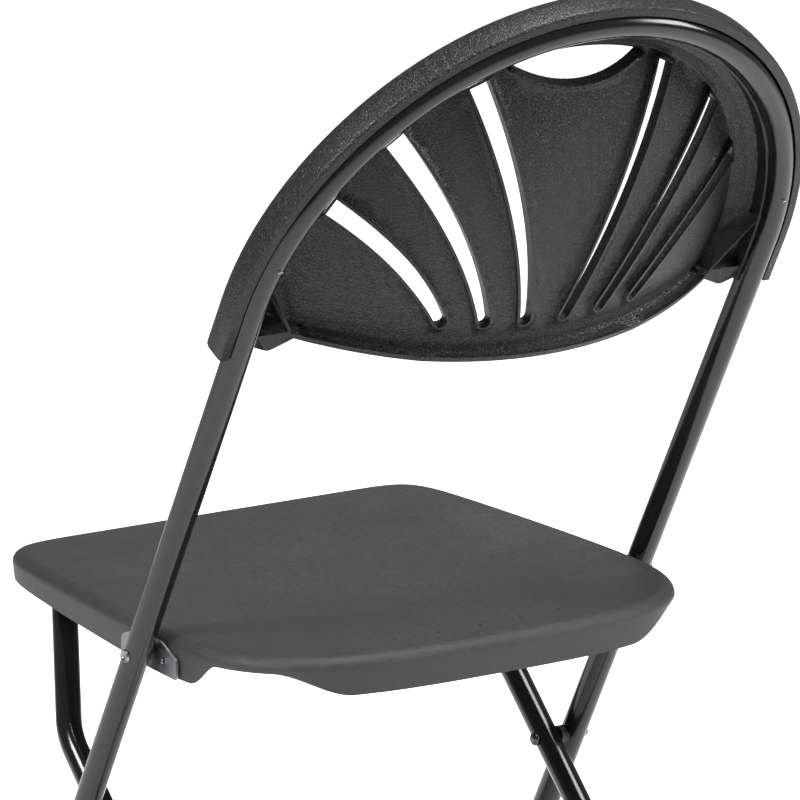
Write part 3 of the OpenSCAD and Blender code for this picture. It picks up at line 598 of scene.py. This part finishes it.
# %% The screw tree
def make_screw_tree():
    tree = bpy.data.node_groups.new("Cross head screws", "GeometryNodeTree")
    sizes = [("Head Radius", 0.0034), ("Head Height", 0.0015), ("Cross Width", 0.0008),
             ("Cross Depth", 0.0008)]
    tree.interface.new_socket("Geometry", in_out="INPUT", socket_type="NodeSocketGeometry")
    for label, value in sizes:
        socket = tree.interface.new_socket(label, in_out="INPUT", socket_type="NodeSocketFloat")
        socket.default_value = value
    tree.interface.new_socket("Material", in_out="INPUT", socket_type="NodeSocketMaterial")
    tree.interface.new_socket("Geometry", in_out="OUTPUT", socket_type="NodeSocketGeometry")
    link = tree.links.new
    start, end = tree.nodes.new("NodeGroupInput"), tree.nodes.new("NodeGroupOutput")
    ball = set_inputs(add_node(tree, "GeometryNodeMeshUVSphere"), Segments=48, Rings=24)
    flatten = add_node(tree, "ShaderNodeMath", operation="DIVIDE")
    squeeze = set_inputs(add_node(tree, "ShaderNodeCombineXYZ"), X=1.0, Y=1.0)
    pan = add_node(tree, "GeometryNodeTransform")
    link(start.outputs["Head Radius"], ball.inputs["Radius"])
    link(start.outputs["Head Height"], flatten.inputs[0])
    link(start.outputs["Head Radius"], flatten.inputs[1])
    link(flatten.outputs[0], squeeze.inputs["Z"])
    link(ball.outputs["Mesh"], pan.inputs["Geometry"])
    link(squeeze.outputs[0], pan.inputs["Scale"])
    lift = add_node(tree, "ShaderNodeCombineXYZ")
    link(start.outputs["Head Height"], lift.inputs["Z"])
    depth = add_node(tree, "ShaderNodeMath", operation="MULTIPLY")
    depth.inputs[1].default_value = 2.0
    link(start.outputs["Cross Depth"], depth.inputs[0])
    head = pan.outputs["Geometry"]
    for long_side, short_side in (("X", "Y"), ("Y", "X")):
        size = add_node(tree, "ShaderNodeCombineXYZ")
        link(start.outputs["Head Radius"], size.inputs[long_side])
        link(start.outputs["Cross Width"], size.inputs[short_side])
        link(depth.outputs[0], size.inputs["Z"])
        bar = add_node(tree, "GeometryNodeMeshCube")
        link(size.outputs[0], bar.inputs["Size"])
        raised = add_node(tree, "GeometryNodeTransform")
        link(bar.outputs["Mesh"], raised.inputs["Geometry"])
        link(lift.outputs[0], raised.inputs["Translation"])
        cutter = add_node(tree, "GeometryNodeMeshBoolean", operation="DIFFERENCE")
        link(head, cutter.inputs["Mesh 1"])
        link(raised.outputs["Geometry"], cutter.inputs["Mesh 2"])
        head = cutter.outputs["Mesh"]
    facing = add_node(tree, "GeometryNodeInputNamedAttribute", data_type="FLOAT_VECTOR")
    facing.inputs["Name"].default_value = "facing"
    turn = add_node(tree, "FunctionNodeAlignRotationToVector", axis="Z")
    link(facing.outputs["Attribute"], turn.inputs["Vector"])
    place = add_node(tree, "GeometryNodeInstanceOnPoints")
    link(start.outputs["Geometry"], place.inputs["Points"])
    link(head, place.inputs["Instance"])
    link(turn.outputs["Rotation"], place.inputs["Rotation"])
    solid = add_node(tree, "GeometryNodeRealizeInstances")
    paint = add_node(tree, "GeometryNodeSetMaterial")
    link(place.outputs["Instances"], solid.inputs["Geometry"])
    link(solid.outputs["Geometry"], paint.inputs["Geometry"])
    link(start.outputs["Material"], paint.inputs["Material"])
    link(paint.outputs["Geometry"], end.inputs["Geometry"])
    return tree


screw_tree = make_screw_tree()


# %% Screws at points
def screws_at(name, spots, body, stands_for, **sizes):
    points = bpy.data.meshes.new(name + "_points")
    points.from_pydata([tuple(p) for p, _ in spots], [], [])
    facing = points.attributes.new("facing", "FLOAT_VECTOR", "POINT")
    facing.data.foreach_set("vector", [c for _, d in spots for c in d])
    holder = bpy.data.objects.new(name + "_points", points)
    bpy.context.scene.collection.objects.link(holder)
    modifier = holder.modifiers.new("screws", "NODES")
    modifier.node_group = screw_tree
    for item in screw_tree.interface.items_tree:
        if item.in_out == "INPUT" and item.name in sizes:
            modifier[item.identifier] = sizes[item.name]
        if item.in_out == "INPUT" and item.name == "Material":
            modifier[item.identifier] = finishes["screw_zinc"]
    bpy.context.view_layer.update()
    shown = holder.evaluated_get(bpy.context.evaluated_depsgraph_get())
    mesh = bpy.data.meshes.new_from_object(shown)
    bpy.data.objects.remove(holder)
    return finish_piece(name, mesh, body, "screw_zinc", [stands_for], 30)


back_screw_turn = math.radians(11.5)
screw_x = leg_x * math.cos(back_screw_turn)
screw_z = arch_rise + leg_x * math.sin(back_screw_turn)
back_way = on_frame.to_3x3() @ Vector((0, 1, 0))
back_spots = [(on_frame @ Vector((side * screw_x, tube_r, screw_z)), back_way) for side in (-1, 1)]
screws_at("back_screws", back_spots, "frame", "backrest_screws",
          **{"Head Radius": 3.4 * MM, "Head Height": 1.9 * MM})

bracket_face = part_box("seat_bracket_left")[1].x
bracket_screw_drop = 3 * MM
bracket_screw_reach = (-27 * MM, 15 * MM)
bracket_spots = [
    (on_seat @ Vector((side * bracket_face, y, -bracket_screw_drop)), Vector((side, 0, 0)))
    for side in (-1, 1)
    for y in bracket_screw_reach
]
screws_at("side_screws", bracket_spots, "seat", "bracket_screws",
          **{"Head Radius": 3.2 * MM, "Head Height": 1.5 * MM})

# %% [markdown]
# ## Floor, light and camera
#
# A pale floor and big soft lights keep the black parts readable: gloss paint shows only what it
# mirrors, so each tube needs a bright area to mirror. The sky is dim, so the rest of the paint stays
# black, and the floor glows for the camera alone, which makes a white backdrop without lighting the
# chair. The camera looks from behind and to the side.

# %% The floor
floor_half = 30
floor_mesh = mesh_from(
    "floor", [(-floor_half, -floor_half, 0), (floor_half, -floor_half, 0),
              (floor_half, floor_half, 0), (-floor_half, floor_half, 0)], [(0, 1, 2, 3)])
floor = bpy.data.objects.new("floor", floor_mesh)
bpy.context.scene.collection.objects.link(floor)
floor_paint = bpy.data.materials.new("Pale floor")
floor_paint.use_nodes = True
floor_surface = floor_paint.node_tree.nodes["Principled BSDF"]
floor_surface.inputs["Base Color"].default_value = (0.92, 0.92, 0.92, 1)
floor_surface.inputs["Roughness"].default_value = 0.9
floor_surface.inputs["Emission Color"].default_value = (1, 1, 1, 1)
sight = add_node(floor_paint.node_tree, "ShaderNodeLightPath")
glow = add_node(floor_paint.node_tree, "ShaderNodeMath", operation="MULTIPLY")
glow.inputs[1].default_value = 0.7
floor_paint.node_tree.links.new(sight.outputs["Is Camera Ray"], glow.inputs[0])
floor_paint.node_tree.links.new(glow.outputs[0], floor_surface.inputs["Emission Strength"])
floor_mesh.materials.append(floor_paint)

# %% The lights
world = bpy.data.worlds.new("Studio")
bpy.context.scene.world = world
world.use_nodes = True
world.node_tree.nodes["Background"].inputs["Color"].default_value = (1, 1, 1, 1)
world.node_tree.nodes["Background"].inputs["Strength"].default_value = 0.28
bpy.context.scene.view_settings.view_transform = "Standard"


def soft_light(name, place, aim, size, power):
    lamp = bpy.data.lights.new(name, "AREA")
    lamp.shape, lamp.size, lamp.energy = "SQUARE", size, power
    light = bpy.data.objects.new(name, lamp)
    light.location = place
    light.rotation_mode = "QUATERNION"
    light.rotation_quaternion = (Vector(aim) - Vector(place)).to_track_quat("-Z", "Y")
    bpy.context.scene.collection.objects.link(light)


chair_middle = (0, 0, 0.5)
soft_light("key", (2.6, 0.6, 2.6), chair_middle, 1.2, 170)
soft_light("top", (-0.6, 0.8, 3.0), chair_middle, 1.6, 150)
soft_light("rim", (-2.6, 1.8, 1.6), chair_middle, 1.0, 60)

# %% The camera
camera_data = bpy.data.cameras.new("camera")
camera_data.sensor_width = 36
camera_data.lens = 317
camera = bpy.data.objects.new("camera", camera_data)
bpy.context.scene.collection.objects.link(camera)
azimuth, elevation, distance = math.radians(145.5), math.radians(13.08), 5.0
aim = Vector((-0.0233, -0.0351, 0.5496))
back_way = Vector((
    math.sin(azimuth) * math.cos(elevation),
    -math.cos(azimuth) * math.cos(elevation),
    math.sin(elevation),
))
camera.location = aim + back_way * distance
camera.rotation_mode = "QUATERNION"
camera.rotation_quaternion = (-back_way).to_track_quat("-Z", "Y")
bpy.context.scene.camera = camera
